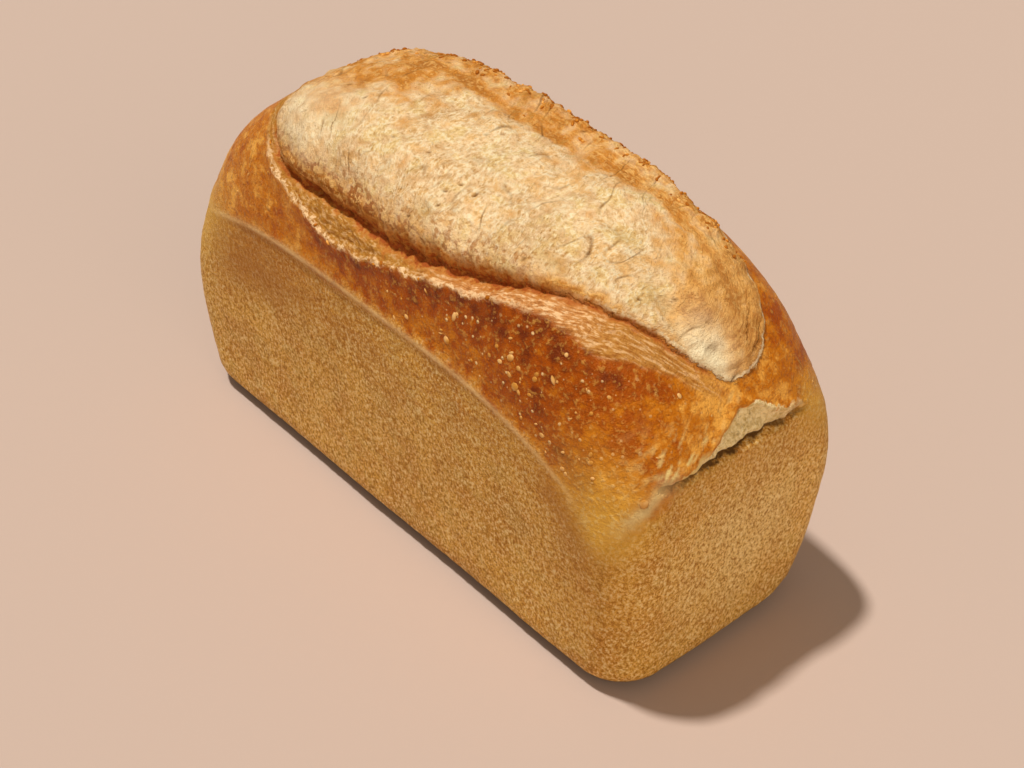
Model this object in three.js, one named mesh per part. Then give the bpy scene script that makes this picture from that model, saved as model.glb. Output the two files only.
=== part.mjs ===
// A white tin loaf: straight walls shaped by the tin, a dome that rose above the rim, and one long
// slash in its top that burst open into a pale bloom with a deep groove and a lip along its near edge.
// Millimetres, +Z up. X runs along the loaf, -Y is the side with the groove, +X the end with the tear.

import * as THREE from 'three';

// ---- driving dimensions ------------------------------------------------------------------------

// Walls, as the tin shaped them
const BASE_HALF_LENGTH = 126.3;
const BASE_HALF_WIDTH = 50;
const FLARE = 0.062; // how far each wall leans out for each millimetre of height
const CORNER_RADIUS = 18.5; // of the upright corners
const FOOT_RADIUS = 10; // of the edge between the walls and the base
const BLUNT_HEIGHT = 38; // below this three of the upright corners grow blunter, by these much at the base
const BLUNT_FAR_RIGHT = 14;
const BLUNT_NEAR_LEFT = 5;
const BLUNT_FAR_LEFT = 9;

// Dome: a crown that falls away ever faster towards the sides and the ends
const DOME_FOOT = 40; // the height that its curve is counted from
const DOME_RISE = 112;
const DOME_SLOPE = -0.023; // the far left end rose a little more
const DOME_HALF_LENGTH = 144.6;
const DOME_HALF_WIDTH = 61.9;
const DOME_LENGTH_POWER = 4.8;
const DOME_WIDTH_POWER = 5.3;
const DOME_CENTRE_X = 9.8;
const DOME_CENTRE_Y = -4.1;
const SHOULDER_BLEND = 6; // rounds the line where the dome meets the walls

// The heart line that the crust's surface is unrolled about
const HEART_HALF_LENGTH = 70;
const HEART_HEIGHT = 95;
const UNROLL_RADIUS = 55;

// Rim line, where the dough left the tin: level along the walls, lower round the corners
const RIM_HEIGHT = 104.5;
const RIM_END_DROP = 6;
const RIM_CORNER_DROP = 39;
const RIM_HALF_LENGTH = 131;
const RIM_HALF_WIDTH = 56;
const RIM_POWER = 4;
const RIM_RISE = 0.8;
const RIM_HALF_BAND = 2.6;
const RIM_CORNER_FADE = [0.02, 0.4]; // it flattens out towards the corners

// Bloom: the oval that burst out of the slash, measured on the unrolled crust
const BLOOM_RIGHT = 135;
const BLOOM_LEFT = 83;
const BLOOM_LEFT_SLANT = 0.19; // its left end is cut back towards the near side,
const BLOOM_SLANT_LIMIT = 1.2; // as far out as this many half widths
const BLOOM_NEAR = 40.7;
const BLOOM_FAR = 38.7;
const BLOOM_CENTRE = -9.9;
const BLOOM_END_SHIFT = 9; // its middle line swings to the far side at the right end
const BLOOM_NEAR_RIGHT_POWER = 1.5; // 2 is an ellipse, and more is fuller
const BLOOM_FAR_RIGHT_POWER = 3.1;
const BLOOM_NEAR_LEFT_POWER = 6;
const BLOOM_FAR_LEFT_POWER = 2.6;
const BLOOM_RISE = 6;
const BLOOM_PROFILE_POWER = 2.2;
const SIDE_FADE_SHARE = 0.5; // what runs along one edge fades out over this share of the half width

// Groove along the bloom's near edge, and the lip of crust outside it
const GROOVE_DEPTH = 4;
const GROOVE_OFFSET = 0.4;
const GROOVE_START = { along: -57, halfLength: 14, offset: 2.6 }; // its left end stands further off
const GROOVE_HALF_WIDTH = 3.1;
const GROOVE_END_HALF_WIDTH = 2.3;
const GROOVE_WIDE_CENTRE = 20;
const GROOVE_WIDE_HALF_LENGTH = 50;
const GROOVE_SHALLOW_FROM = 50;
const GROOVE_SHALLOW_TO = 90;
const GROOVE_SHALLOW_SHARE = 0.35;
const LIP_RISE = 1.5;
const LIP_OFFSET = 6.1;
const LIP_SWINGS = [ // where the lip stands further out, and how much
  { along: -18, halfLength: 24, offset: 5.7 },
  { along: 101, halfLength: 18, offset: 6 },
];
const LIP_INNER_WIDTH = 2.2; // steep towards the groove and gentle away from it
const LIP_OUTER_WIDTH = 4;
const LIP_START = [-76, -58]; // it rises over this stretch along the loaf
const LIP_END = [50, 85]; // and melts into the crust over this one

// Ear: the ragged crest along the bloom's far edge, with a shallow valley on its inner side
const EAR_RISE = 2.8;
const EAR_OFFSET = -8;
const EAR_HALF_WIDTH = 4;
const EAR_CENTRE = 15;
const EAR_HALF_LENGTH = 62;
const EAR_RAGGED_RISE = 0.4;
const EAR_RAGGED_PITCHES = [9.7, 15.1, 23.3];
const VALLEY_DEPTH = 1.6;
const VALLEY_OFFSET = -19;
const VALLEY_HALF_WIDTH = 5;

// Puffs: the soft uneven swelling of the bloom
const PUFF_RISE = 0.8;
const PUFF_PITCHES = [47, 31, 22];

// Folds and hollows of the bloom: place on the unrolled crust, half size, and depth
const HOLLOWS = [
  { along: 103, across: -13, halfLength: 8, halfWidth: 3.5, depth: 2.2 },
  { along: 75, across: -7, halfLength: 5, halfWidth: 2.5, depth: 1.2 },
  { along: 19, across: -38, halfLength: 4, halfWidth: 3, depth: 1.5 },
  { along: 70, across: -29, halfLength: 6, halfWidth: 2.5, depth: 1.2 },
  { along: -40, across: -30, halfLength: 7, halfWidth: 3, depth: 1 },
];

// Tear across the right end: a slit just above the rim line, torn crumb over it, and the crust's edge
const TEAR_HEIGHT = 97;
const TEAR_CENTRE = -6;
const TEAR_HALF_WIDTH = 34;
const TEAR_DEPTH = 3.6;
const TEAR_SLIT_HALF_WIDTH = 1.5;
const TEAR_BAND = 3.6; // height of the torn crumb over the slit
const TEAR_PEAK = 8; // and how much more of it there is here
const TEAR_PEAK_PLACE = -1;
const TEAR_PEAK_HALF_WIDTH = 11;
const TEAR_RECESS = 1.5;
const TEAR_BLEND = 1.8; // half the height over which the crumb sinks in
const TEAR_EDGE_RISE = 1.2;
const TEAR_EDGE_HALF_WIDTH = 2.4;
const TEAR_ROLL_FROM = -16; // towards the near corner the edge is a smooth roll of skin
const TEAR_ROLL_TO = -28;
const TEAR_ROLL_HEIGHT = 2.6;
const TEAR_ROLL_RISE = 1.2;
const TEAR_ROLL_HALF_WIDTH = 1.9;

// ---- mesh resolution ---------------------------------------------------------------------------

const CORE_HALF_LENGTH = 92; // rays leave a core box inside the loaf and meet its surface
const CORE_HALF_WIDTH = 26;
const CORE_TOP = 86.6;
const CORE_CELLS_ALONG = 42;
const CORE_CELLS_ACROSS = 13;
const END_FAN_CELLS = 8; // each fan turns the rays through 45 degrees at a core edge
const NEAR_FAN_CELLS = 19; // finest where the groove and the lip run
const FAR_FAN_CELLS = 8;
const UPPER_FAN_CELLS = 12;
const WALL_HEIGHTS = [0, 1.4, 4.2, 10, 30, 60, CORE_TOP];
const RAY_LENGTH = 150;
const BISECTIONS = 30;
const CUT_MARGIN = 0.02; // a cell is cut along its other diagonal only when that is closer by this much

// ---- small helpers -----------------------------------------------------------------------------

function bell(value, halfWidth) {
  return Math.exp(-((value / halfWidth) ** 2));
}

function smoothstep(from, to, value) {
  const t = THREE.MathUtils.clamp((value - from) / (to - from), 0, 1);
  return t * t * (3 - 2 * t);
}

function smoothMax(a, b, blend) {
  const overlap = Math.max(blend - Math.abs(a - b), 0);
  return Math.max(a, b) + (overlap * overlap) / (4 * blend);
}

// A sum of sines of the given pitches, each turned a little from the one before: from -1 to 1
function waves(along, across, pitches) {
  const sum = pitches.reduce((total, pitch, i) => {
    const turned = along * Math.cos(i) + across * Math.sin(i);
    return total + Math.sin((2 * Math.PI * turned) / pitch + i);
  }, 0);
  return sum / pitches.length;
}

// ---- the smooth body ---------------------------------------------------------------------------

// How much blunter than the rest an upright corner is at the base
function blunting(x, y) {
  if (y > 0) {
    return x > 0 ? BLUNT_FAR_RIGHT : BLUNT_FAR_LEFT;
  }
  return x > 0 ? 0 : BLUNT_NEAR_LEFT;
}

// Distance outside the tin's walls, negative inside; the foot radius draws them in at the base
function wallDistance(x, y, z) {
  const radius = CORNER_RADIUS + blunting(x, y) * Math.max(1 - z / BLUNT_HEIGHT, 0) ** 2;
  const footHeight = Math.max(FOOT_RADIUS - z, 0);
  const inset = FOOT_RADIUS - Math.sqrt(FOOT_RADIUS ** 2 - footHeight ** 2);
  const qx = Math.abs(x) - (BASE_HALF_LENGTH + FLARE * z - inset - radius);
  const qy = Math.abs(y) - (BASE_HALF_WIDTH + FLARE * z - inset - radius);
  const corner = Math.hypot(Math.max(qx, 0), Math.max(qy, 0));
  return corner + Math.min(Math.max(qx, qy), 0) - radius;
}

// Distance outside the dome, to first order, negative inside
function domeDistance(x, y, z) {
  const along = Math.abs((x - DOME_CENTRE_X) / DOME_HALF_LENGTH);
  const across = Math.abs((y - DOME_CENTRE_Y) / DOME_HALF_WIDTH);
  const rise = DOME_RISE + DOME_SLOPE * x;
  const up = Math.max(z - DOME_FOOT, 0) / rise;
  const level = along ** DOME_LENGTH_POWER + across ** DOME_WIDTH_POWER + up - 1;
  const slopeAlong = (DOME_LENGTH_POWER * along ** (DOME_LENGTH_POWER - 1)) / DOME_HALF_LENGTH;
  const slopeAcross = (DOME_WIDTH_POWER * across ** (DOME_WIDTH_POWER - 1)) / DOME_HALF_WIDTH;
  return level / Math.hypot(slopeAlong, slopeAcross, 1 / rise);
}

function isInside(point) {
  const wall = wallDistance(point.x, point.y, point.z);
  const dome = domeDistance(point.x, point.y, point.z);
  return smoothMax(wall, dome, SHOULDER_BLEND) < 0;
}

// The point where a ray from inside the loaf meets the smooth body
function meetSkin(origin, direction) {
  let near = 0;
  let far = RAY_LENGTH;
  const point = new THREE.Vector3();
  for (let i = 0; i < BISECTIONS; i += 1) {
    const middle = (near + far) / 2;
    point.copy(origin).addScaledVector(direction, middle);
    if (isInside(point)) {
      near = middle;
    } else {
      far = middle;
    }
  }
  return point;
}

// ---- relief on the unrolled crust --------------------------------------------------------------

// The crust is unrolled about the heart line, so that lengths on it keep their size
function unroll(point) {
  const heartX = THREE.MathUtils.clamp(point.x, -HEART_HALF_LENGTH, HEART_HALF_LENGTH);
  const outward = new THREE.Vector3(point.x - heartX, point.y, point.z - HEART_HEIGHT);
  const sideways = Math.max(Math.hypot(outward.x, outward.y), 1e-6);
  const stretch = (UNROLL_RADIUS * Math.atan2(sideways, outward.z)) / sideways;
  return {
    along: heartX + outward.x * stretch,
    across: outward.y * stretch,
    outward: outward.normalize(),
  };
}

// Where a place lies in the bloom: level is 0 in its middle and 1 on its edge, beyond is the distance
// outside the edge in millimetres, and near and far are 1 well to that side of its middle line
function bloomPlace(along, across) {
  const right = along > 0;
  const middle = BLOOM_CENTRE + BLOOM_END_SHIFT * THREE.MathUtils.clamp(along / BLOOM_RIGHT, 0, 1) ** 2;
  const onNearSide = across < middle;
  const halfWidth = onNearSide ? BLOOM_NEAR : BLOOM_FAR;
  const v = Math.abs(across - middle) / halfWidth;
  const slant = onNearSide && !right ? 1 - BLOOM_LEFT_SLANT * Math.min(v, BLOOM_SLANT_LIMIT) : 1;
  const halfLength = (right ? BLOOM_RIGHT : BLOOM_LEFT) * slant;
  const nearPower = right ? BLOOM_NEAR_RIGHT_POWER : BLOOM_NEAR_LEFT_POWER;
  const farPower = right ? BLOOM_FAR_RIGHT_POWER : BLOOM_FAR_LEFT_POWER;
  const power = onNearSide ? nearPower : farPower;
  const u = Math.abs(along) / halfLength;
  const level = Math.max((u ** power + v ** power) ** (1 / power), 1e-3);
  const slope = Math.hypot((u / level) ** (power - 1) / halfLength, (v / level) ** (power - 1) / halfWidth);
  return {
    level,
    beyond: (level - 1) / slope,
    near: smoothstep(0, BLOOM_NEAR * SIDE_FADE_SHARE, middle - across),
    far: smoothstep(0, BLOOM_FAR * SIDE_FADE_SHARE, across - middle),
  };
}

function bloomRelief(along, across, place) {
  if (place.level >= 1) {
    return 0;
  }
  const profile = Math.sqrt(1 - place.level ** BLOOM_PROFILE_POWER);
  const hollows = HOLLOWS.reduce((total, hollow) => {
    const shapeAlong = bell(along - hollow.along, hollow.halfLength);
    const shapeAcross = bell(across - hollow.across, hollow.halfWidth);
    return total + hollow.depth * shapeAlong * shapeAcross;
  }, 0);
  return BLOOM_RISE * profile + PUFF_RISE * profile * waves(along, across, PUFF_PITCHES) - hollows;
}

function swing(along, stretch) {
  return stretch.offset * bell(along - stretch.along, stretch.halfLength);
}

function grooveRelief(along, place) {
  const fade = smoothstep(GROOVE_SHALLOW_FROM, GROOVE_SHALLOW_TO, along);
  const depth = GROOVE_DEPTH * (1 - (1 - GROOVE_SHALLOW_SHARE) * fade) * place.near;
  const wide = bell(along - GROOVE_WIDE_CENTRE, GROOVE_WIDE_HALF_LENGTH);
  const halfWidth = THREE.MathUtils.lerp(GROOVE_END_HALF_WIDTH, GROOVE_HALF_WIDTH, wide);
  return -depth * bell(place.beyond - GROOVE_OFFSET - swing(along, GROOVE_START), halfWidth);
}

function lipRelief(along, place) {
  const swings = LIP_SWINGS.reduce((total, stretch) => total + swing(along, stretch), 0);
  const pastLip = place.beyond - LIP_OFFSET - swings;
  const halfWidth = pastLip < 0 ? LIP_INNER_WIDTH : LIP_OUTER_WIDTH;
  const stands = place.near * smoothstep(...LIP_START, along) * (1 - smoothstep(...LIP_END, along));
  return LIP_RISE * stands * bell(pastLip, halfWidth);
}

function earRelief(along, across, place) {
  const reach = place.far * bell(along - EAR_CENTRE, EAR_HALF_LENGTH);
  const rise = EAR_RISE + EAR_RAGGED_RISE * waves(along, across, EAR_RAGGED_PITCHES);
  const crest = rise * bell(place.beyond - EAR_OFFSET, EAR_HALF_WIDTH);
  const valley = VALLEY_DEPTH * bell(place.beyond - VALLEY_OFFSET, VALLEY_HALF_WIDTH);
  return reach * (crest - valley);
}

function rimRelief(point) {
  const end = Math.abs(point.x / RIM_HALF_LENGTH) ** RIM_POWER;
  const side = Math.abs(point.y / RIM_HALF_WIDTH) ** RIM_POWER;
  const aboveRim = point.z - (RIM_HEIGHT - end * (RIM_END_DROP + RIM_CORNER_DROP * side));
  return RIM_RISE * (1 - smoothstep(...RIM_CORNER_FADE, end * side)) * bell(aboveRim, RIM_HALF_BAND);
}

function tearRelief(point) {
  const reach = 1 - ((point.y - TEAR_CENTRE) / TEAR_HALF_WIDTH) ** 2;
  if (point.x < HEART_HALF_LENGTH || reach <= 0) {
    return 0;
  }
  const open = Math.sqrt(reach);
  const aboveSlit = point.z - TEAR_HEIGHT;
  const peak = TEAR_PEAK * bell(point.y - TEAR_PEAK_PLACE, TEAR_PEAK_HALF_WIDTH);
  const aboveBand = aboveSlit - TEAR_BAND * open - peak;
  const rolled = smoothstep(TEAR_ROLL_FROM, TEAR_ROLL_TO, point.y);
  const slit = TEAR_DEPTH * bell(aboveSlit, TEAR_SLIT_HALF_WIDTH);
  const overSlit = smoothstep(-TEAR_BLEND, TEAR_BLEND, aboveSlit);
  const underEdge = smoothstep(TEAR_BLEND, -TEAR_BLEND, aboveBand);
  const recess = TEAR_RECESS * overSlit * underEdge;
  const edge = TEAR_EDGE_RISE * bell(aboveBand - TEAR_EDGE_HALF_WIDTH, TEAR_EDGE_HALF_WIDTH);
  const roll = TEAR_ROLL_RISE * bell(aboveSlit - TEAR_ROLL_HEIGHT, TEAR_ROLL_HALF_WIDTH);
  return open * (THREE.MathUtils.lerp(edge - recess, roll, rolled) - slit);
}

function raise(point) {
  const { along, across, outward } = unroll(point);
  const place = bloomPlace(along, across);
  const onTop = bloomRelief(along, across, place) + grooveRelief(along, place)
    + lipRelief(along, place) + earRelief(along, across, place);
  const aboveHeart = smoothstep(HEART_HEIGHT - UNROLL_RADIUS / 2, HEART_HEIGHT, point.z);
  return point.addScaledVector(outward, onTop * aboveHeart + rimRelief(point) + tearRelief(point));
}

// ---- the grid of rays --------------------------------------------------------------------------

// How far a ray leans after so many cells of a fan of 45 degrees
function fanLean(cell, cells) {
  return Math.tan((cell / cells) * (Math.PI / 4));
}

// Steps along one side of the core box: a fan of 45 degrees, the straight part, and a fan again
function steps(halfLength, firstFanCells, coreCells, lastFanCells) {
  const list = [];
  for (let i = firstFanCells; i > 0; i -= 1) {
    list.push({ place: -halfLength, lean: -fanLean(i, firstFanCells) });
  }
  for (let i = 0; i <= coreCells; i += 1) {
    list.push({ place: halfLength * ((2 * i) / coreCells - 1), lean: 0 });
  }
  for (let i = 1; i <= lastFanCells; i += 1) {
    list.push({ place: halfLength, lean: fanLean(i, lastFanCells) });
  }
  return list;
}

function halfway(a, b) {
  return { place: (a.place + b.place) / 2, lean: (a.lean + b.lean) / 2 };
}

function crustPoint(x, y, height, lift) {
  const origin = new THREE.Vector3(x.place, y.place, height);
  const direction = new THREE.Vector3(x.lean, y.lean, lift).normalize();
  return raise(meetSkin(origin, direction));
}

const alongSteps = steps(CORE_HALF_LENGTH, END_FAN_CELLS, CORE_CELLS_ALONG, END_FAN_CELLS);
const acrossSteps = steps(CORE_HALF_WIDTH, NEAR_FAN_CELLS, CORE_CELLS_ACROSS, FAR_FAN_CELLS);

// The columns round the loaf, anticlockwise seen from above, each with its place in the top grid
function columnsRound() {
  const lastAlong = alongSteps.length - 1;
  const lastAcross = acrossSteps.length - 1;
  const corners = [];
  for (let i = 0; i < lastAlong; i += 1) {
    corners.push([i, 0]);
  }
  for (let j = 0; j < lastAcross; j += 1) {
    corners.push([lastAlong, j]);
  }
  for (let i = lastAlong; i > 0; i -= 1) {
    corners.push([i, lastAcross]);
  }
  for (let j = lastAcross; j > 0; j -= 1) {
    corners.push([0, j]);
  }
  return corners.map(([i, j]) => ({ i, j, x: alongSteps[i], y: acrossSteps[j] }));
}

function loafGeometry() {
  const points = [];
  const faces = [];
  const addPoint = (x, y, height, lift) => points.push(crustPoint(x, y, height, lift)) - 1;
  // A cell is cut along the diagonal that passes closer to the crust at its middle
  const addCell = (a, b, c, d, middle) => {
    const offFirst = points[a].clone().lerp(points[c], 0.5).distanceTo(middle);
    const offSecond = points[b].clone().lerp(points[d], 0.5).distanceTo(middle);
    if (offFirst < offSecond + CUT_MARGIN) {
      faces.push(a, b, c, a, c, d);
    } else {
      faces.push(a, b, d, b, c, d);
    }
  };

  const top = alongSteps.map((x) => acrossSteps.map((y) => addPoint(x, y, CORE_TOP, 1)));
  for (let i = 1; i < alongSteps.length; i += 1) {
    const x = halfway(alongSteps[i - 1], alongSteps[i]);
    for (let j = 1; j < acrossSteps.length; j += 1) {
      const y = halfway(acrossSteps[j - 1], acrossSteps[j]);
      const middle = crustPoint(x, y, CORE_TOP, 1);
      addCell(top[i - 1][j - 1], top[i][j - 1], top[i][j], top[i - 1][j], middle);
    }
  }

  const rows = WALL_HEIGHTS.map((height) => ({ height, lift: 0 }));
  for (let i = 1; i < UPPER_FAN_CELLS; i += 1) {
    rows.push({ height: CORE_TOP, lift: fanLean(i, UPPER_FAN_CELLS) });
  }
  const columns = columnsRound();
  const wall = rows.map((row) => columns.map((c) => addPoint(c.x, c.y, row.height, row.lift)));
  rows.push({ height: CORE_TOP, lift: 1 });
  wall.push(columns.map((c) => top[c.i][c.j]));
  for (let r = 1; r < wall.length; r += 1) {
    const height = (rows[r - 1].height + rows[r].height) / 2;
    const lift = (rows[r - 1].lift + rows[r].lift) / 2;
    for (let c = 0; c < columns.length; c += 1) {
      const next = (c + 1) % columns.length;
      const x = halfway(columns[c].x, columns[next].x);
      const y = halfway(columns[c].y, columns[next].y);
      const middle = crustPoint(x, y, height, lift);
      addCell(wall[r - 1][c], wall[r - 1][next], wall[r][next], wall[r][c], middle);
    }
  }

  points.push(new THREE.Vector3(0, 0, 0));
  const baseCentre = points.length - 1;
  for (let c = 0; c < columns.length; c += 1) {
    faces.push(baseCentre, wall[0][(c + 1) % columns.length], wall[0][c]);
  }

  const geometry = new THREE.BufferGeometry().setFromPoints(points);
  geometry.setIndex(faces);
  geometry.computeBoundingBox();
  const centre = geometry.boundingBox.getCenter(new THREE.Vector3());
  geometry.translate(-centre.x, -centre.y, -geometry.boundingBox.min.z);
  geometry.computeVertexNormals();
  return geometry;
}

// ---- the part ----------------------------------------------------------------------------------

const crust = new THREE.MeshStandardMaterial({ color: 0xb9772f, roughness: 0.7, metalness: 0 });
const loaf = new THREE.Mesh(loafGeometry(), crust);
loaf.name = 'loaf';

const tinLoaf = new THREE.Group();
tinLoaf.add(loaf);

export default tinLoaf;
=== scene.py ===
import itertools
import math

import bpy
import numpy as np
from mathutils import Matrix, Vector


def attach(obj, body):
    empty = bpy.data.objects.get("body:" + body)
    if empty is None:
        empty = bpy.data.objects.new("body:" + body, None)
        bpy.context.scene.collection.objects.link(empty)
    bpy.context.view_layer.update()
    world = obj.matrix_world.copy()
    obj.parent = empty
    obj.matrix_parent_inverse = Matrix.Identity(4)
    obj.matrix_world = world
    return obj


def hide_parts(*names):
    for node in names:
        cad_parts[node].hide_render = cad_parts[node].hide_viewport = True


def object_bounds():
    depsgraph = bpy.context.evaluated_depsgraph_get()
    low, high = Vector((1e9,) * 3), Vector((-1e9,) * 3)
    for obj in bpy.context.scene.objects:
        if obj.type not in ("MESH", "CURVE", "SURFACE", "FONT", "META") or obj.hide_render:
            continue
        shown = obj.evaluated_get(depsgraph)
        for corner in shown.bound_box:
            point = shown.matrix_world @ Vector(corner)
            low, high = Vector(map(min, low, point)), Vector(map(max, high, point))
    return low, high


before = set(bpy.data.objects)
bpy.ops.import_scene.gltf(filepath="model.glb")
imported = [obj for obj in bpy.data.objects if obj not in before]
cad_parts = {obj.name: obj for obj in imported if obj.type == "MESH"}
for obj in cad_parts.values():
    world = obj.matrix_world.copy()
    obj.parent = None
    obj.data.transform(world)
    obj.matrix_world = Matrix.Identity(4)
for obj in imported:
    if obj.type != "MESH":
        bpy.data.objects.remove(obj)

# A white tin loaf: straight walls pressed by the tin, a glossy dome above them, and one long slash
# that burst open into a pale bloom, with a deep groove and a crumbly lip along its near edge.
# Lengths are millimetres in the shape functions and metres in Blender. X runs along the loaf, -Y is
# the side with the groove, and +X the end with the tear.

CAD_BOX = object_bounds()
MM = 0.001

# ---- the loaf's driving dimensions ----
# As in the part's source, but for the narrowest forms: the groove's ends, the lip's inner edge, the
# edges of the tear and the bloom's near edge are sharper here, on a finer grid.

TIN_MIDDLE = (-1.9270, 1.4362)  # where the middle of the tin stands in the part's frame

BASE_HALF_LENGTH = 126.3
BASE_HALF_WIDTH = 50
FLARE = 0.062
CORNER_RADIUS = 18.5
FOOT_RADIUS = 10
BLUNT_HEIGHT = 38  # below this the base's corners grow blunter, all but the near right one
BLUNT_FAR_RIGHT = 14
BLUNT_NEAR_LEFT = 5
BLUNT_FAR_LEFT = 9

DOME_FOOT = 40
DOME_RISE = 112
DOME_SLOPE = -0.023
DOME_HALF_LENGTH = 144.6
DOME_HALF_WIDTH = 61.9
DOME_LENGTH_POWER = 4.8
DOME_WIDTH_POWER = 5.3
DOME_CENTRE_X = 9.8
DOME_CENTRE_Y = -4.1
SHOULDER_BLEND = 6

HEART_HALF_LENGTH = 70
HEART_HEIGHT = 95
UNROLL_RADIUS = 55

RIM_HEIGHT = 104.5
RIM_END_DROP = 6
RIM_CORNER_DROP = 39
RIM_HALF_LENGTH = 131
RIM_HALF_WIDTH = 56
RIM_POWER = 4
RIM_RISE = 0.8
RIM_HALF_BAND = 2.6
RIM_FADES = (0.02, 0.4)  # over this share of the way round a corner

BLOOM_RIGHT = 135
BLOOM_LEFT = 83
BLOOM_LEFT_SLANT = 0.19  # its left end is cut back towards the near side,
BLOOM_SLANT_LIMIT = 1.2  # as far out as this many half widths
BLOOM_NEAR = 40.7
BLOOM_FAR = 38.7
BLOOM_CENTRE = -9.9
BLOOM_END_SHIFT = 9
BLOOM_NEAR_RIGHT_POWER = 1.5
BLOOM_FAR_RIGHT_POWER = 3.1
BLOOM_NEAR_LEFT_POWER = 6
BLOOM_FAR_LEFT_POWER = 2.6
BLOOM_LEAST_LEVEL = 1e-3
BLOOM_RISE = 6
BLOOM_PROFILE_POWER = 2.2
BLOOM_NEAR_SHARPER = 1.2  # added along the near side, where the crust broke off short
SIDE_FADE_SHARE = 0.5

GROOVE_DEPTH = 4
GROOVE_OFFSET = 0.4
GROOVE_START = -57  # its left end stands further off the bloom
GROOVE_START_HALF_LENGTH = 14
GROOVE_START_OFFSET = 2.6
GROOVE_HALF_WIDTH = 3.1
GROOVE_END_HALF_WIDTH = 1.4
GROOVE_WIDE_CENTRE = 20
GROOVE_WIDE_HALF_LENGTH = 50
GROOVE_SHALLOW_FROM = 50
GROOVE_SHALLOW_TO = 90
GROOVE_SHALLOW_SHARE = 0.35
GROOVE_MEAN_SHARE = 0.85
LIP_RISE = 1.5
LIP_OFFSET = 6.1
LIP_SWINGS = (  # along, half length, and how much further out it stands there
    (-18, 24, 5.7),
    (101, 18, 6),
)
LIP_INNER_WIDTH = 1.3
LIP_OUTER_WIDTH = 4
LIP_START = (-76, -58)  # it rises over this stretch along the loaf
LIP_END = (50, 85)  # and melts into the crust over this one

EAR_RISE = 2.8
EAR_OFFSET = -8
EAR_HALF_WIDTH = 4
EAR_CENTRE = 15
EAR_HALF_LENGTH = 62
EAR_RAGGED_RISE = 0.4
EAR_RAGGED_PITCHES = (9.7, 15.1, 23.3)
VALLEY_DEPTH = 1.6
VALLEY_OFFSET = -19
VALLEY_HALF_WIDTH = 5

PUFF_RISE = 0.8
PUFF_PITCHES = (47, 31, 22)

HOLLOWS = (  # along, across, half length, half width, depth
    (103, -13, 8, 3.5, 2.2),
    (75, -7, 5, 2.5, 1.2),
    (19, -38, 4, 3, 1.5),
    (70, -29, 6, 2.5, 1.2),
    (-40, -30, 7, 3, 1),
)

TEAR_HEIGHT = 97
TEAR_CENTRE = -6
TEAR_HALF_WIDTH = 34
TEAR_DEPTH = 3.6
TEAR_SLIT_HALF_WIDTH = 1.2
TEAR_BAND = 3.6  # height of the torn crumb above the slit
TEAR_PEAK = 8
TEAR_PEAK_PLACE = -1
TEAR_PEAK_HALF_WIDTH = 11
TEAR_RECESS = 1.5
TEAR_BLEND = 1  # half the height over which the crumb sinks in
TEAR_EDGE_RISE = 1.2
TEAR_EDGE_HALF_WIDTH = 1.8
TEAR_ROLL_FROM = -16  # towards the near corner the edge is a smooth roll of skin
TEAR_ROLL_TO = -28
TEAR_ROLL_HEIGHT = 2.6
TEAR_ROLL_RISE = 1.2
TEAR_ROLL_HALF_WIDTH = 1.6

# ---- the fine grid of the crust ----

CORE_HALF_LENGTH = 92
CORE_HALF_WIDTH = 26
CORE_TOP = 86.6
CORE_CELLS_ALONG = 186
CORE_CELLS_ACROSS = 46
END_FAN_CELLS = 44
NEAR_FAN_CELLS = 62
FAR_FAN_CELLS = 36
UPPER_FAN_CELLS = 34
FOOT_HEIGHTS = (0, 0.3, 0.8, 1.6, 2.8, 4.5, 6.8, 10)
WALL_ROWS = 17
BASE_RINGS = (0.97, 0.92, 0.82, 0.66, 0.45, 0.22)
RAY_LENGTH = 150
BISECTIONS = 22
NEARLY_NOUGHT = 1e-6
SHORTEST_NORMAL = 1e-9
FINE_RELIEF_STARTS = (0.5, 5)  # it sets in between these heights, so that the base stays flat

# ---- small helpers ----


def bell(value, half_width):
    return np.exp(-((value / half_width) ** 2))


def smoothstep(start, end, value):
    t = np.clip((value - start) / (end - start), 0, 1)
    return t * t * (3 - 2 * t)


def span(value, start, full, fading, gone):
    """Rises from start to full, and falls again from fading to gone."""
    return smoothstep(start, full, value) * smoothstep(gone, fading, value)


def smooth_max(a, b, blend):
    overlap = np.maximum(blend - np.abs(a - b), 0)
    return np.maximum(a, b) + overlap * overlap / (4 * blend)


def waves(along, across, pitches):
    """A sum of sines of the given pitches, each turned a little from the one before: from -1 to 1."""
    total = 0
    for i, pitch in enumerate(pitches):
        turned = along * math.cos(i) + across * math.sin(i)
        total = total + np.sin(2 * math.pi * turned / pitch + i)
    return total / len(pitches)


LATTICE_SIZE = 4096
DICE = np.random.default_rng(31)
LATTICE = DICE.permutation(LATTICE_SIZE)
SLOPES = DICE.normal(size=(LATTICE_SIZE, 3))
SLOPES /= np.linalg.norm(SLOPES, axis=1, keepdims=True)
NOISE_GAIN = 1.7  # brings the usual range of the noise to about -1 to 1
SEED_STEP = 37.7


def noise(x, y, z=0.0, seed=0):
    """Smooth gradient noise, about one rise or dip to a unit."""
    place = np.stack(np.broadcast_arrays(x, y, z), axis=-1) + seed * SEED_STEP
    cell = np.floor(place).astype(np.int64)
    part = place - cell
    fade = part**3 * (part * (part * 6 - 15) + 10)
    total = 0
    for corner in itertools.product((0, 1), repeat=3):
        corner = np.array(corner)
        key = 0
        for axis in range(3):
            key = LATTICE[(key + cell[..., axis] + corner[axis]) % LATTICE_SIZE]
        slope = ((part - corner) * SLOPES[key]).sum(axis=-1)
        total = total + slope * np.where(corner, fade, 1 - fade).prod(axis=-1)
    return total * NOISE_GAIN


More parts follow.
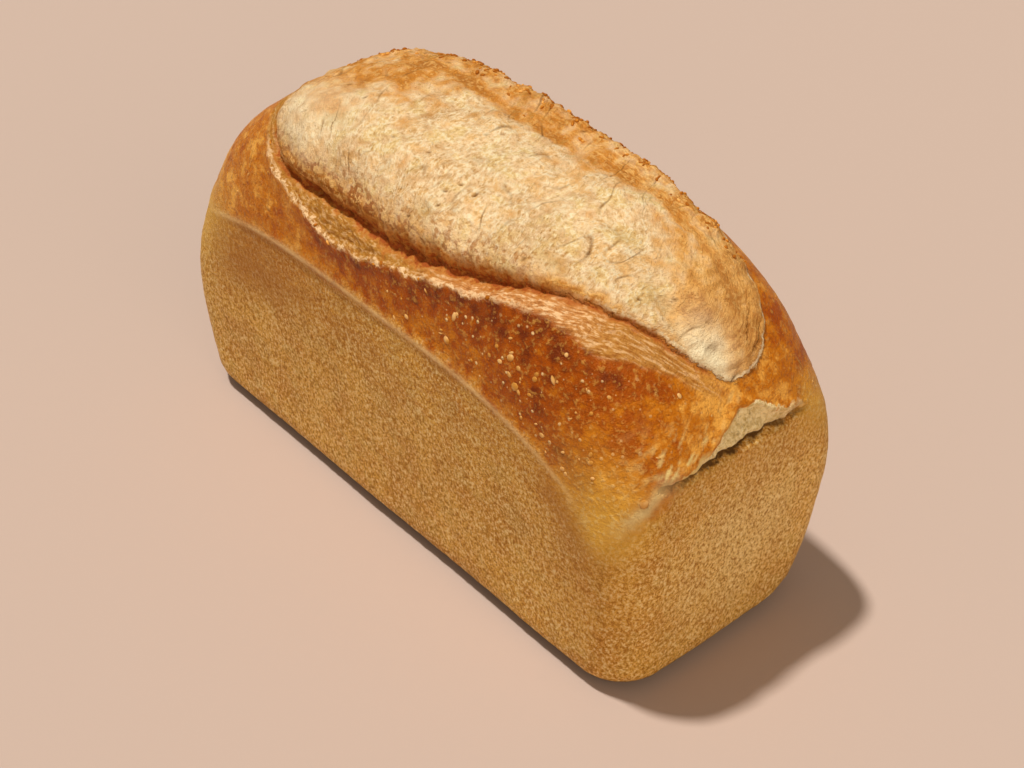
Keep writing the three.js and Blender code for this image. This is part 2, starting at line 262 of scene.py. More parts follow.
def waver(value, *layers):
    """Noise along one line, in layers of height, size and seed."""
    return sum(height * noise(value / size, 0, seed=seed) for height, size, seed in layers)


def creases(value, width):
    """1 on the lines where the value passes through nought, falling to 0 over the width."""
    return np.clip(1 - np.abs(value) / width, 0, 1)


# ---- the smooth body ----


def wall_distance(x, y, z):
    """Distance outside the tin's walls, negative inside."""
    far = np.where(x > 0, BLUNT_FAR_RIGHT, BLUNT_FAR_LEFT)
    near = np.where(x > 0, 0, BLUNT_NEAR_LEFT)
    radius = CORNER_RADIUS + np.where(y > 0, far, near) * np.clip(1 - z / BLUNT_HEIGHT, 0, 1) ** 2
    foot_height = np.maximum(FOOT_RADIUS - z, 0)
    inset = FOOT_RADIUS - np.sqrt(np.maximum(FOOT_RADIUS**2 - foot_height**2, 0))
    qx = np.abs(x) - (BASE_HALF_LENGTH + FLARE * z - inset - radius)
    qy = np.abs(y) - (BASE_HALF_WIDTH + FLARE * z - inset - radius)
    corner = np.hypot(np.maximum(qx, 0), np.maximum(qy, 0))
    return corner + np.minimum(np.maximum(qx, qy), 0) - radius


def dome_distance(x, y, z):
    """Distance outside the dome, to first order, negative inside."""
    along = np.abs((x - DOME_CENTRE_X) / DOME_HALF_LENGTH)
    across = np.abs((y - DOME_CENTRE_Y) / DOME_HALF_WIDTH)
    rise = DOME_RISE + DOME_SLOPE * x
    up = np.maximum(z - DOME_FOOT, 0) / rise
    level = along**DOME_LENGTH_POWER + across**DOME_WIDTH_POWER + up - 1
    slope_along = DOME_LENGTH_POWER * along ** (DOME_LENGTH_POWER - 1) / DOME_HALF_LENGTH
    slope_across = DOME_WIDTH_POWER * across ** (DOME_WIDTH_POWER - 1) / DOME_HALF_WIDTH
    return level / np.sqrt(slope_along**2 + slope_across**2 + 1 / rise**2)


def meet_skin(origins, directions):
    """The points where rays from inside the loaf meet the smooth body."""
    near = np.zeros(len(origins))
    far = np.full(len(origins), float(RAY_LENGTH))
    for _ in range(BISECTIONS):
        middle = (near + far) / 2
        x, y, z = (origins + directions * middle[:, None]).T
        inside = smooth_max(wall_distance(x, y, z), dome_distance(x, y, z), SHOULDER_BLEND) < 0
        near = np.where(inside, middle, near)
        far = np.where(inside, far, middle)
    return origins + directions * near[:, None]


# ---- the grid of rays ----


def steps(half_length, first_fan_cells, core_cells, last_fan_cells):
    """Place and lean of each ray along one side of the core: a 45 degree fan, the straight part, a fan."""
    first = np.tan(np.arange(first_fan_cells, 0, -1) / first_fan_cells * math.pi / 4)
    last = np.tan(np.arange(1, last_fan_cells + 1) / last_fan_cells * math.pi / 4)
    places = np.linspace(-half_length, half_length, core_cells + 1)
    ends = (np.full(first_fan_cells, -half_length), np.full(last_fan_cells, half_length))
    place = np.concatenate([ends[0], places, ends[1]])
    lean = np.concatenate([-first, np.zeros(core_cells + 1), last])
    return place, lean


def pairs(rows, columns):
    """Every row number with every column number."""
    return (a.ravel() for a in np.meshgrid(range(rows), range(columns), indexing="ij"))


def crust_grid():
    """The smooth crust as a closed mesh: its points, its four-sided and its three-sided faces."""
    x_place, x_lean = steps(CORE_HALF_LENGTH, END_FAN_CELLS, CORE_CELLS_ALONG, END_FAN_CELLS)
    y_place, y_lean = steps(CORE_HALF_WIDTH, NEAR_FAN_CELLS, CORE_CELLS_ACROSS, FAR_FAN_CELLS)
    count_x, count_y = len(x_place), len(y_place)

    def rays(i, j, height, lift):
        origins = np.stack([x_place[i], y_place[j], np.full(len(i), height)], axis=1)
        directions = np.stack([x_lean[i], y_lean[j], np.full(len(i), lift)], axis=1)
        directions /= np.linalg.norm(directions, axis=1, keepdims=True)
        return meet_skin(origins, directions)

    parts = [rays(*pairs(count_x, count_y), CORE_TOP, 1)]
    cell_i, cell_j = pairs(count_x - 1, count_y - 1)
    corner = cell_i * count_y + cell_j
    faces = [np.stack([corner, corner + count_y, corner + count_y + 1, corner + 1], axis=1)]

    last_x, last_y = count_x - 1, count_y - 1
    side_x, side_y = np.arange(last_x), np.arange(last_y)
    ring_i = np.concatenate([side_x, np.full(last_y, last_x), last_x - side_x, 0 * side_y])
    ring_j = np.concatenate([0 * side_x, side_y, np.full(last_x, last_y), last_y - side_y])
    columns = len(ring_i)
    heights = [(h, 0) for h in FOOT_HEIGHTS]
    heights += [(h, 0) for h in np.linspace(FOOT_HEIGHTS[-1], CORE_TOP, WALL_ROWS + 1)[1:]]
    heights += [(CORE_TOP, math.tan(k / UPPER_FAN_CELLS * math.pi / 4)) for k in range(1, UPPER_FAN_CELLS)]
    first = count_x * count_y
    rows = []
    for height, lift in heights:
        parts.append(rays(ring_i, ring_j, height, lift))
        rows.append(first + np.arange(columns))
        first += columns
    rows.append(ring_i * count_y + ring_j)
    base = parts[1]
    for share in BASE_RINGS:
        parts.append(base * (share, share, 1))
        rows.insert(0, first + np.arange(columns))
        first += columns
    for lower, upper in zip(rows, rows[1:]):
        faces.append(np.stack([lower, np.roll(lower, -1), np.roll(upper, -1), upper], axis=1))
    parts.append(np.zeros((1, 3)))
    fan = np.stack([np.full(columns, first), np.roll(rows[0], -1), rows[0]], axis=1)
    return np.concatenate(parts), np.concatenate(faces), fan


# ---- places on the crust ----


class Crust:
    """The smooth crust's points, and where each lies on the unrolled crust and by each of its forms."""

    def __init__(self, points):
        self.x, self.y, self.z = points.T
        heart_x = np.clip(self.x, -HEART_HALF_LENGTH, HEART_HALF_LENGTH)
        outward = np.stack([self.x - heart_x, self.y, self.z - HEART_HEIGHT], axis=1)
        sideways = np.maximum(np.hypot(outward[:, 0], outward[:, 1]), NEARLY_NOUGHT)
        stretch = UNROLL_RADIUS * np.arctan2(sideways, outward[:, 2]) / sideways
        self.along = heart_x + outward[:, 0] * stretch
        self.across = outward[:, 1] * stretch
        self.outward = outward / np.linalg.norm(outward, axis=1, keepdims=True)
        self.above_heart = smoothstep(HEART_HEIGHT - UNROLL_RADIUS / 2, HEART_HEIGHT, self.z)
        self.place_in_bloom()
        self.place_by_groove()
        self.place_by_rim()
        self.place_by_tear()

    def flat(self, *layers):
        """Noise on the unrolled crust, in layers of height, size along, size across and seed."""
        return sum(h * noise(self.along / a, self.across / b, seed=seed) for h, a, b, seed in layers)

    def solid(self, height, size, seed):
        """Noise through the whole loaf."""
        return height * noise(self.x / size, self.y / size, self.z / size, seed=seed)

    def spots(self, table):
        """The sum of soft spots: place along and across, half length, half width and height of each."""
        total = 0
        for along, across, half_length, half_width, height in table:
            spot = height * bell(self.along - along, half_length) * bell(self.across - across, half_width)
            total = total + spot
        return total

    def place_in_bloom(self):
        right = self.along > 0
        reach = np.clip(self.along / BLOOM_RIGHT, 0, 1)
        self.middle = BLOOM_CENTRE + BLOOM_END_SHIFT * reach**2
        near_side = self.across < self.middle
        half_length = np.where(right, BLOOM_RIGHT, BLOOM_LEFT)
        half_width = np.where(near_side, BLOOM_NEAR, BLOOM_FAR)
        near_power = np.where(right, BLOOM_NEAR_RIGHT_POWER, BLOOM_NEAR_LEFT_POWER)
        far_power = np.where(right, BLOOM_FAR_RIGHT_POWER, BLOOM_FAR_LEFT_POWER)
        power = np.where(near_side, near_power, far_power)
        ragged = waver(self.along, (1.1, 10, 47)) + self.flat((0.4, 4.5, 9, 48))
        v = np.abs(self.across + ragged - self.middle) / half_width
        slant = np.where(near_side & ~right, 1 - BLOOM_LEFT_SLANT * np.minimum(v, BLOOM_SLANT_LIMIT), 1)
        half_length = half_length * slant
        u = np.abs(self.along) / half_length
        self.level = np.maximum((u**power + v**power) ** (1 / power), BLOOM_LEAST_LEVEL)
        slope_u = (u / self.level) ** (power - 1) / half_length
        slope_v = (v / self.level) ** (power - 1) / half_width
        beyond = (self.level - 1) / np.hypot(slope_u, slope_v)
        self.beyond = np.where(self.z > FOOT_RADIUS, beyond, UNROLL_RADIUS)  # the base lies outside it
        self.near = smoothstep(0, BLOOM_NEAR * SIDE_FADE_SHARE, self.middle - self.across)
        self.far = smoothstep(0, BLOOM_FAR * SIDE_FADE_SHARE, self.across - self.middle)

    def place_by_groove(self):
        start = GROOVE_START_OFFSET * bell(self.along - GROOVE_START, GROOVE_START_HALF_LENGTH)
        wander = waver(self.along, (0.9, 7, 23), (0.5, 2.6, 30))
        wide = bell(self.along - GROOVE_WIDE_CENTRE, GROOVE_WIDE_HALF_LENGTH)
        width = GROOVE_END_HALF_WIDTH + (GROOVE_HALF_WIDTH - GROOVE_END_HALF_WIDTH) * wide
        self.off_groove = (self.beyond - GROOVE_OFFSET - start - wander) / width
        swings = sum(reach * bell(self.along - place, half) for place, half, reach in LIP_SWINGS)
        wander = waver(self.along, (0.8, 9, 21), (0.5, 3.3, 22))
        self.past_lip = self.beyond - LIP_OFFSET - swings - wander
        melts = smoothstep(*LIP_END, self.along)
        self.lip_stands = self.near * smoothstep(*LIP_START, self.along) * (1 - melts)
        self.in_strip = self.near * smoothstep(-1, 1, self.beyond) * smoothstep(1.5, -1, self.past_lip)

    def place_by_rim(self):
        end = np.abs(self.x / RIM_HALF_LENGTH) ** RIM_POWER
        side = np.abs(self.y / RIM_HALF_WIDTH) ** RIM_POWER
        self.cornered = end * side
        self.above_rim = self.z - (RIM_HEIGHT - end * (RIM_END_DROP + RIM_CORNER_DROP * side))

    def place_by_tear(self):
        reach = np.clip(1 - ((self.y - TEAR_CENTRE) / TEAR_HALF_WIDTH) ** 2, 0, 1)
        self.torn = np.where(self.x > HEART_HALF_LENGTH, np.sqrt(reach), 0)
        ragged = waver(self.y, (0.7, 5, 31), (0.4, 2.1, 32))
        self.above_slit = self.z - TEAR_HEIGHT - ragged
        peak = TEAR_PEAK * bell(self.y - TEAR_PEAK_PLACE, TEAR_PEAK_HALF_WIDTH)
        band = TEAR_BAND * self.torn + peak + waver(self.y, (0.8, 4, 33))
        self.above_band = self.above_slit - band
        self.rolled = smoothstep(TEAR_ROLL_FROM, TEAR_ROLL_TO, self.y)


# ---- the forms that the solid has too ----


def bloom_relief(crust):
    power = BLOOM_PROFILE_POWER + BLOOM_NEAR_SHARPER * crust.near
    profile = np.sqrt(np.clip(1 - crust.level**power, 0, 1))
    puffs = PUFF_RISE * profile * waves(crust.along, crust.across, PUFF_PITCHES)
    return np.where(crust.level < 1, BLOOM_RISE * profile + puffs - crust.spots(HOLLOWS), 0)


def groove_relief(crust):
    fade = smoothstep(GROOVE_SHALLOW_FROM, GROOVE_SHALLOW_TO, crust.along)
    depth = GROOVE_DEPTH * (1 - (1 - GROOVE_SHALLOW_SHARE) * fade) * crust.near
    depth = depth * (GROOVE_MEAN_SHARE + waver(crust.along, (0.45, 6, 24)))
    return -depth * bell(crust.off_groove, 1)


def lip_relief(crust):
    width = np.where(crust.past_lip < 0, LIP_INNER_WIDTH, LIP_OUTER_WIDTH)
    return LIP_RISE * crust.lip_stands * bell(crust.past_lip, width)


def ear_relief(crust):
    reach = crust.far * bell(crust.along - EAR_CENTRE, EAR_HALF_LENGTH)
    rise = EAR_RISE + EAR_RAGGED_RISE * waves(crust.along, crust.across, EAR_RAGGED_PITCHES)
    crest = rise * bell(crust.beyond - EAR_OFFSET, EAR_HALF_WIDTH)
    return reach * (crest - VALLEY_DEPTH * bell(crust.beyond - VALLEY_OFFSET, VALLEY_HALF_WIDTH))


def rim_relief(crust):
    return RIM_RISE * (1 - smoothstep(*RIM_FADES, crust.cornered)) * bell(crust.above_rim, RIM_HALF_BAND)


def tear_relief(crust):
    slit = TEAR_DEPTH * bell(crust.above_slit, TEAR_SLIT_HALF_WIDTH)
    in_band = smoothstep(-TEAR_BLEND, TEAR_BLEND, crust.above_slit)
    in_band = in_band * smoothstep(TEAR_BLEND, -TEAR_BLEND, crust.above_band)
    edge = TEAR_EDGE_RISE * bell(crust.above_band - TEAR_EDGE_HALF_WIDTH, TEAR_EDGE_HALF_WIDTH)
    roll = TEAR_ROLL_RISE * bell(crust.above_slit - TEAR_ROLL_HEIGHT, TEAR_ROLL_HALF_WIDTH)
    return crust.torn * ((1 - crust.rolled) * (edge - TEAR_RECESS * in_band) + crust.rolled * roll - slit)


def main_relief(crust):
    on_top = bloom_relief(crust) + groove_relief(crust) + lip_relief(crust) + ear_relief(crust)
    return on_top * crust.above_heart + rim_relief(crust) + tear_relief(crust)


# ---- fine relief ----

STRAND_BOW_LEFT = 42  # how far the strands of crumb bow round the bloom's ends
STRAND_BOW_RIGHT = 34
STRAND_TILT = 0.25
WRINKLE_HEIGHT = 0.3
FOLD_DEPTH, FOLD_WIDTH = 0.7, 0.14
PORE_DEPTH = 0.6
CRACK_DEPTH, CRACK_WIDTH = 0.6, 0.16
RUBBLE_SLANT = 0.8


def strand_place(crust):
    """Place across and along the strands of crumb, which bow round both ends of the bloom."""
    left_bow = STRAND_BOW_LEFT * smoothstep(20, -75, crust.along)
    right_bow = STRAND_BOW_RIGHT * smoothstep(50, 125, crust.along)
    off_middle = (crust.across - crust.middle) / BLOOM_NEAR
    drift = crust.flat((5, 23, 23, 1), (1.6, 8, 8, 2))
    tilt = STRAND_TILT * (crust.across - crust.middle)
    return crust.along - (left_bow - right_bow) * off_middle**2 + drift + tilt, crust.across


def fold(crust):
    """Passes through nought along the thin creases where the bloom's skin folded."""
    across_strands, along_strands = strand_place(crust)
    return noise(across_strands / 9, along_strands / 20, seed=6)


def folded(crust):
    off_edge = 1 - crust.near * smoothstep(-14, -6, crust.beyond)
    return off_edge * smoothstep(-0.1, 0.6, crust.flat((1, 12, 12, 26)))


def pores(crust):
    """Burst bubbles in the bloom, each a pit of two millimetres or so."""
    inside = smoothstep(-2, -5, crust.beyond)
    return inside * smoothstep(0.7, 0.85, crust.flat((1, 2.1, 2.1, 34)))


def bloom_texture(crust):
    across_strands, along_strands = strand_place(crust)
    lumps = crust.flat((0.8, 9, 9, 3), (0.5, 4.2, 4.2, 4), (0.22, 2.2, 2.2, 25))
    wrinkles = WRINKLE_HEIGHT * noise(across_strands / 2.6, along_strands / 7, seed=5)
    folds = folded(crust) * creases(fold(crust), FOLD_WIDTH)
    inside = smoothstep(0, -2, crust.beyond)
    return inside * (lumps + wrinkles - FOLD_DEPTH * folds - PORE_DEPTH * pores(crust))


def groove_edge_texture(crust):
    """The rubble of burst crust on the bloom's side of the groove."""
    on_edge = crust.near * bell(crust.beyond + 3, 4) * span(crust.along, -75, -55, 35, 75)
    slant = crust.along + RUBBLE_SLANT * crust.across
    rubble = 0.8 * noise(slant / 5.6, crust.across / 2.2, seed=35) + crust.flat((0.4, 1.9, 1.7, 36))
    cracks = creases(noise(slant / 7, crust.across / 3.4, seed=45), CRACK_WIDTH)
    return on_edge * (rubble - CRACK_DEPTH * cracks)


def lip_texture(crust):
    on_lip = bell(crust.past_lip, 2) * crust.lip_stands
    crumbs = crust.flat((0.4, 2.4, 2.4, 7))
    strands = 0.4 * noise(crust.along / 7, crust.beyond / 1.4, seed=8)
    rubble = crust.flat((0.75, 2.8, 2.4, 27)) * smoothstep(45, 10, crust.along)
    return on_lip * crumbs + crust.in_strip * (strands + rubble)


def ear_texture(crust):
    on_ear = crust.far * bell(crust.beyond + 7, 9) * span(crust.along, -90, -60, 85, 125)
    clumps = crust.flat((0.9, 6, 4, 28))
    flakes = crust.flat((0.8, 3.4, 2.2, 9), (0.4, 1.8, 1.8, 10))
    return on_ear * (clumps + flakes)


def dome_texture(crust):
    on_dome = smoothstep(0, 6, crust.above_rim) * smoothstep(6, 12, crust.beyond)
    return on_dome * (crust.solid(0.5, 24, 11) + crust.solid(0.16, 2.6, 12))


def wall_texture(crust):
    on_wall = smoothstep(0, -6, crust.above_rim) * smoothstep(1, 6, crust.z)
    return on_wall * (crust.solid(0.5, 30, 13) + crust.solid(0.2, 2.6, 14))


def tear_texture(crust):
    in_band = smoothstep(-1, 1, crust.above_slit) * smoothstep(1, -1, crust.above_band)
    fine = 0.7 * noise(crust.y / 1.8, crust.z / 1.8, seed=37)
    coarse = 0.8 * noise(crust.y / 3.4, crust.z / 3.4, seed=38)
    return crust.torn * (1 - crust.rolled) * in_band * (fine + coarse)


def fine_relief(crust):
    on_top = bloom_texture(crust) + groove_edge_texture(crust) + lip_texture(crust) + ear_texture(crust)
    return on_top + dome_texture(crust) + wall_texture(crust) + tear_texture(crust)


# ---- what the oven did to each place: fields and masks for the material ----
# The first two numbers of a smoothstep are where it starts and is full, the last of a bell its reach.

# Spots: along, across, half length, half width, height
BAKE_SPOTS = ((136, -14, 17, 17, -0.4),)  # the glow over the torn end
TOAST_SPOTS = (
    (-36, -5, 22, 11, 0.2),  # the crown
    (-54, -24, 14, 9, 0.5),  # the left end
    (106, -7, 7, 5, 0.6),  # beside the deepest hollow
    (124, -7, 10, 8, -0.3),  # the tip of the right end, which stayed pale
)
# painted light on the bloom's near right end
PAINTED_LIGHT_SPOTS = ((124, -8, 13, 9, 0.8),)


def bake(crust):
    """How brown the dome is: most along the lip and halfway along the loaf, least by the torn end."""
    from_lip = np.maximum(crust.past_lip, 0)
    halfway = smoothstep(-60, 10, crust.along) * (1 - 0.6 * smoothstep(85, 125, crust.along))
    near = smoothstep(0, -12, crust.across - crust.middle)
    streak = halfway * (0.3 * np.exp(-((from_lip / 24) ** 1.4)) + 0.28 * bell(from_lip - 3, 7)) * near
    far_right = bell(crust.along - 130, 25) * smoothstep(10, 30, crust.across)
    low = bell(crust.x - 88, 34) * bell(crust.above_rim - 19, 17) * smoothstep(-20, -40, crust.y)
    total = 0.38 + streak + 0.15 * far_right + 0.38 * low + crust.spots(BAKE_SPOTS)
    return np.clip(total + crust.solid(0.15, 15, 15), 0, 1)


def toast(crust):
    """How golden the bloom is: along its far ridge, at its right end and just above the groove."""
    ridge_start = 8 - 0.63 * np.maximum(-10 - crust.along, 0) - 12 * smoothstep(60, 100, crust.along)
    uneven = crust.flat((4, 11, 11, 39))
    ridge = smoothstep(-9, 12, crust.across - ridge_start + uneven)
    right_end = smoothstep(85, 110, crust.along) * smoothstep(-16, -4, crust.across)
    groove_edge = crust.near * smoothstep(-6, -1, crust.beyond)
    left_patch = crust.near * bell(crust.along + 22, 42) * smoothstep(-11, -3, crust.beyond)
    crest = crust.far * bell(crust.beyond + 3, 4) * span(crust.along, -90, -40, 60, 110)
    valley = crust.far * bell(crust.beyond + 18 + 1.5 * uneven / 4, 3) * smoothstep(-70, -40, crust.along)
    patches = crust.flat((1, 15, 11, 16), (0.6, 5, 5, 17))
    total = 0.46 * ridge + 0.26 * right_end + 0.4 * groove_edge + 0.55 * left_patch + 0.4 * (crest + valley)
    return np.clip(0.1 + total + crust.spots(TOAST_SPOTS) + 0.22 * patches, 0, 1)


def rubble(crust):
    """Where the bloom's near edge is broken and browned, just above the groove."""
    whole = bell(crust.along + 22, 46) + 0.5 * bell(crust.along - 45, 30)
    return crust.near * whole * smoothstep(-15, -4, crust.beyond + crust.flat((2.5, 6, 6, 46)))


def stretch(crust):
    """Where the skin stretched thin over a corner as the dough rose, and stayed pale."""
    right, left = smoothstep(0.14, 0.65, crust.cornered), smoothstep(0.08, 0.4, crust.cornered)
    corner = np.where(crust.x > 0, right, left)
    far_end = 0.7 * smoothstep(118, 126, crust.x) * smoothstep(18, 30, crust.y) * bell(crust.above_rim - 1, 9)
    return np.maximum(corner * bell(crust.above_rim - 5, 17), far_end)


def pale_streak(crust):
    """The faint greyish seam that runs on from the tear, down over the near corner."""
    line = TEAR_HEIGHT - 0.75 * np.maximum(-38 - crust.y, 0) ** 1.17
    line = line + waver(crust.y, (0.9, 4, 41))
    reach = np.where(crust.x > 110, span(crust.y, -54, -47, -36, -28), 0)
    return 0.65 * reach * bell(crust.z - line - 1, 3)


def stretch_marks(crust):
    """Pale marks where the skin over the near end of the tear was pulled apart."""
    marks = smoothstep(0.1, 0.6, noise((crust.z - 0.7 * crust.y) / 1.5, (crust.y + crust.z) / 6, seed=42))
    place = 0.8 * bell(crust.y + 31, 12) * bell(crust.z - 104, 8)
    place = place + 0.6 * crust.torn * bell(crust.above_band - 3, 5) * smoothstep(4, -8, crust.y)
    return np.where(crust.x > 100, marks * place, 0)


def floury(crust):
    """The paler middle of the end walls, where the tin's flour stayed on."""
    uneven = 0.8 + 0.4 * noise(crust.y / 14, crust.z / 14, seed=43)
    return smoothstep(118, 124, np.abs(crust.x)) * bell(crust.y - 2, 30) * bell(crust.z - 48, 34) * uneven


def hollowed(crust):
    """The shade in the hollows of the bloom."""
    return np.clip(crust.spots([(*place, 0.5) for *place, _ in HOLLOWS]), 0, 1)


def painted_light_cream(crust):
    """Painted light on the bloom, where it shows brightest: at its near right end and down its left."""
    left = crust.near * smoothstep(-15, -55, crust.along) * smoothstep(-3, -10, crust.beyond)
    return crust.spots(PAINTED_LIGHT_SPOTS) + 0.3 * left


def foot_shade(crust):
    """The dark line round the base: painted contact shade where the foot curves under, on crust that browned
    in the tin's corner. The base is like the walls.
    """
    inside = smoothstep(9, 15, -wall_distance(crust.x, crust.y, np.full_like(crust.z, FOOT_RADIUS)))
    return smoothstep(7, 2.5, crust.z) * (1 - 0.8 * inside)


def right_edge(crust):
    """Towards the bloom's right end: where its rim shows as a thin pale line, and where light is painted on
    the golden crumb.
    """
    return smoothstep(72, 100, crust.along)


def upper_wall(crust):
    """Where the wall browned below the rim: most at the left, and in a band by the near right corner."""
    leftward = smoothstep(20, -80, crust.x)
    band = smoothstep(-30, -4, crust.above_rim + 16 * leftward) * (0.35 + 0.6 * leftward)
    band = band * (1 - smoothstep(0.1, 0.5, crust.cornered))
    high = 0.95 * bell(crust.x - 104, 14) * bell(crust.above_rim + 6, 12)
    low = 0.35 * bell(crust.x - 112, 20) * bell(crust.z - 50, 34)
    return np.clip(band + (high + low) * smoothstep(-40, -52, crust.y), 0, 1)


def strip_pale(crust):
    return smoothstep(12, 48, crust.along) * (1 - 0.75 * smoothstep(80, 102, crust.along))


def groove_shows(crust):
    """Along the middle of the groove, and in pockets towards its ends."""
    pockets = 0.65 + waver(crust.along, (0.6, 5, 40))
    whole = span(crust.along, -62, -45, 58, 80)
    return crust.near * np.clip(whole + (1 - whole) * pockets, 0, 1)


def in_tear(crust):
    wider = 3.2 * smoothstep(-2, 10, crust.y) + 1.2 * noise(crust.y / 3, crust.z / 3, seed=44)
    below = smoothstep(0.8, -0.8, crust.above_band - wider)
    return crust.torn * smoothstep(-0.8, 0.8, crust.above_slit) * below


def rim_highlight(crust):
    """A painted highlight: the pale line along the crest where the dough stood against the tin's rim."""
    side = np.where(crust.y < 0, 1, 0.6) * smoothstep(122, 100, np.abs(crust.x))
    broken = 0.75 + 0.35 * noise(crust.x / 12, crust.z / 12, seed=29)
    return 0.9 * side * broken * bell(crust.above_rim + 0.3, 1.1)


def blistered(crust):
    """Where blisters came up: on the brown side of the dome, and a few at the right end."""
    on_dome = smoothstep(2, 8, crust.above_rim) * smoothstep(2, 7, crust.past_lip)
    return on_dome * (0.12 + bell(crust.along - 68, 52) * smoothstep(0, -30, crust.across))


def crumbly(crust):
    """Where dry crumbs cling: along the ragged far crest and on the lip."""
    crest = crust.far * bell(crust.beyond + 5, 5) * span(crust.along, -85, -65, 70, 115)
    return crest + 0.14 * crust.lip_stands * bell(crust.past_lip, 1.5)


PLACES = {  # what the material reads of the crust itself, and its unit: distances are in metres there
    "beyond": MM, "past_lip": MM, "above_rim": MM, "above_slit": MM,
    "off_groove": 1, "in_strip": 1, "lip_stands": 1, "torn": 1, "rolled": 1,
}
FIELDS = (
    fold, folded, pores, bake, toast, rubble, stretch, pale_streak, stretch_marks, floury, hollowed,
    painted_light_cream, right_edge, upper_wall, rim_highlight, foot_shade, strip_pale, groove_shows, in_tear,
    blistered, crumbly,
)
SHARES = (*PLACES, *(field.__name__ for field in FIELDS))

# ---- materials ----


def colour(code):
    """An sRGB hex value as linear red, green, blue and alpha."""
    channels = [int(code[i : i + 2], 16) / 255 for i in (1, 3, 5)]
    return [c / 12.92 if c <= 0.04045 else ((c + 0.055) / 1.055) ** 2.4 for c in channels] + [1.0]


def add(tree, kind, inputs=None, **settings):
    """A node of this kind with its settings, each input given a value or linked to a socket."""
    made = tree.nodes.new(kind)
    for name, value in settings.items():
        setattr(made, name, value)
    for key, value in (inputs or {}).items():
        if isinstance(value, bpy.types.NodeSocket):
            tree.links.new(value, made.inputs[key])
        else:
            made.inputs[key].default_value = value
    return made


def grey(value):
    return [value, value, value, 1.0]


def new_material(name):
    material = bpy.data.materials.new(name)
    material.use_nodes = True
    material.node_tree.nodes.clear()
    return material


def coats(tree, share, ground, layers):
    """Lays each paint over the ones before it, as far as its share says."""
    for name, paint in layers:
        paint = colour(paint) if isinstance(paint, str) else paint
        mixed = {0: share[name], 6: ground, 7: paint}
        ground = add(tree, "ShaderNodeMix", mixed, data_type="RGBA").outputs[2]
    return ground


def work_out(tree, share, recipe):
    """Adds each named share of the recipe, worked out from the shares before it."""
    for name, operation, *values in recipe:
        values = [share.get(value, value) for value in values]
        if operation == "BAND":
            source, start, end, most = values
            band = {0: source, 1: start, 2: end, 3: 0.0, 4: most}
            share[name] = add(tree, "ShaderNodeMapRange", band).outputs[0]
        else:
            share[name] = add(tree, "ShaderNodeMath", dict(enumerate(values)), operation=operation).outputs[0]


SHEEN_TINT = "#ffdca8"
BLISTER_PALE, BLISTER_BROWN = "#e4b470", "#c28434"

# Light browns and creams of the baked loaf, and the painted shades and highlights among them
TAN, TAN_BROWN, TAN_DARK, TAN_LIGHT = "#e4ae4c", "#bc7e2e", "#9c6016", "#fae0a4"
# FOOT_SHADE_BROWN is painted contact shade along the foot
TAN_WARM, TAN_OLIVE, FOOT_SHADE_BROWN = "#d4923c", "#d0aa58", "#54341a"
UPPER_BROWN, FLOURY = "#a8641c", "#eeca80"
GLOW, GOLDEN_BROWN, BROWN, MAHOGANY = "#e8a444", "#c2700e", "#a24a02", "#702a08"
# RIM_HIGHLIGHT_TAN is a painted highlight along the rim's crest
FLECK, BEAD, RIM_HIGHLIGHT_TAN = "#dca048", "#ecc488", "#e8c084"
CREAM, PEACH, YELLOW_CREAM, CREAM_LIGHT = "#ecc896", "#ecb970", "#e8c47c", "#fff0c6"
GOLDEN_TOAST, GOLDEN_LIGHT, DEEP_TOAST, TOAST_FLECK = "#d4882c", "#f4bc68", "#a65e14", "#b47c34"
# PIT_SHADE_BROWN is painted shade in the pores and fold creases; HOLLOW_OLIVE is the shade in the hollows
PIT_SHADE_BROWN, HOLLOW_OLIVE, RUBBLE_BROWN = "#7c4e1a", "#c09c58", "#ac662c"
STRAW, STRAW_PALE, SEAM_GREY = "#e0ac44", "#edd084", "#dcc890"
GROOVE_BROWN, GROOVE_DARK = "#c07830", "#a4501c"
STRIP_OLIVE, STRIP_PINK, STRIP_BROWN = "#b47c30", "#cc8a4c", "#8e4a12"
STRIP_LIGHT, LIP_CREAM = "#f4ca94", "#f0c894"
# SLIT_SHADE is painted shade in the tear's slit
CRUMB_PALE, CRUMB_GREEN, CRUMB_BROWN, SLIT_SHADE = "#fce4aa", "#ccaa60", "#8e7036", "#5a3c1a"

ASIDE = (3, 5, 7)  # far enough off for a pattern of its own
BEAD_SPACING = 0.0028

